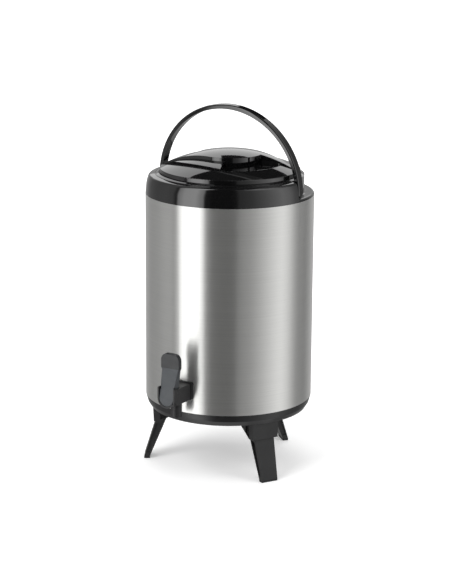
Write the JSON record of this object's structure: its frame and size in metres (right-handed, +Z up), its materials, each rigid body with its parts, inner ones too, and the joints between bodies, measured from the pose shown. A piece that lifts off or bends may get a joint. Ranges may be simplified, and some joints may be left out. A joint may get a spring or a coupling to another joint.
{
  "type": "insulated beverage dispenser",
  "caption": "Tall insulated steel drink dispenser with a black twist-off lid, folding carrying bail, lever tap with spout and folding splayed legs.",
  "frame": {"origin": "centre of the bounding box, on the floor under the three feet", "axes": "+Z up, the tap points along -Y, the bail turns about X"},
  "size_m": [0.266, 0.3286, 0.5801],
  "materials": {
    "brushed_steel": "brushed",
    "vessel_steel": "satin",
    "gloss_black": "gloss",
    "matte_black": "fine matte grain",
    "dark_grey": "fine matte grain",
    "foam": "closed-cell foam",
    "white_plastic": "matte",
    "black_rubber": "matte",
    "clear_silicone": "satin",
    "fastener_steel": "plain zinc",
    "black_steel": "blackened steel",
    "spring_steel": "bright wire"
  },
  "bodies": {
    "vessel": {"outer_shell": "brushed_steel", "inner_vessel": "vessel_steel", "foam_insulation": "foam", "base_cover": "matte_black", "bracket_screws": "fastener_steel", "collar": "gloss_black", "neck_seal": "black_rubber", "bail_pin_left": "fastener_steel", "bail_pin_right": "fastener_steel", "tap_body": "matte_black", "tap_shank": "matte_black", "tap_spout": "matte_black", "tap_outer_washer": "black_rubber", "tap_inner_washer": "black_rubber", "tap_nut": "dark_grey", "tap_bonnet": "dark_grey", "stem_seal": "black_rubber", "tap_spring": "spring_steel", "tap_lever_pin": "dark_grey", "front_right_bracket": "matte_black", "front_right_leg_pin": "black_steel", "front_left_bracket": "matte_black", "front_left_leg_pin": "black_steel", "rear_bracket": "matte_black", "rear_leg_pin": "black_steel"},
    "bail": {"bail_handle": "gloss_black"},
    "lid_seat": {"lid_gasket": "clear_silicone"},
    "lid": {"lid_cover": "gloss_black", "lid_plug": "white_plastic", "lid_foam": "foam"},
    "lever": {"tap_lever": "dark_grey"},
    "stem": {"tap_stem": "white_plastic", "valve_seal": "black_rubber"},
    "front_right_folding_leg": {"front_right_leg": "matte_black", "front_right_foot_pad": "black_rubber"},
    "front_left_folding_leg": {"front_left_leg": "matte_black", "front_left_foot_pad": "black_rubber"},
    "rear_folding_leg": {"rear_leg": "matte_black", "rear_foot_pad": "black_rubber"}
  },
  "joints": [
    {"name": "bail_fold", "type": "hinge", "parent": "vessel", "child": "bail", "pos_m": [0, 0.02122, 0.4515], "axis": [-1, 0, 0], "range_deg": [0, 93.4]},
    {"name": "lid_lift", "type": "slide", "parent": "vessel", "child": "lid_seat", "axis": [0, 0, 1], "range_m": [0, 0.016]},
    {"name": "lid_twist", "type": "hinge", "parent": "lid_seat", "child": "lid", "pos_m": [0, 0.02122, 0.466], "axis": [0, 0, 1], "range_deg": [-50, 0]},
    {"name": "tap_lever_press", "type": "hinge", "parent": "vessel", "child": "lever", "pos_m": [0, -0.15478, 0.156], "axis": [-1, 0, 0], "range_deg": [0, 22], "stiffness_Nm_per_rad": 0.4, "springref_deg": -20.05},
    {"name": "tap_stem_slide", "type": "slide", "parent": "vessel", "child": "stem", "axis": [0, -1, 0], "range_m": [0, 0.0028]},
    {"name": "front_right_leg_fold", "type": "hinge", "parent": "vessel", "child": "front_right_folding_leg", "pos_m": [0.09137, -0.03153, 0.076], "axis": [0.5, 0.866, 0], "range_deg": [0, 108]},
    {"name": "front_left_leg_fold", "type": "hinge", "parent": "vessel", "child": "front_left_folding_leg", "pos_m": [-0.09137, -0.03153, 0.076], "axis": [0.5, -0.866, 0], "range_deg": [0, 108]},
    {"name": "rear_leg_fold", "type": "hinge", "parent": "vessel", "child": "rear_folding_leg", "pos_m": [0.01172, 0.13262, 0.076], "axis": [-0.7193, 0.6947, 0], "range_deg": [0, 108]}
  ],
  "couplings": [
    {"joint": "tap_stem_slide", "follows": "tap_lever_press", "m_per_rad": 0.007}
  ]
}
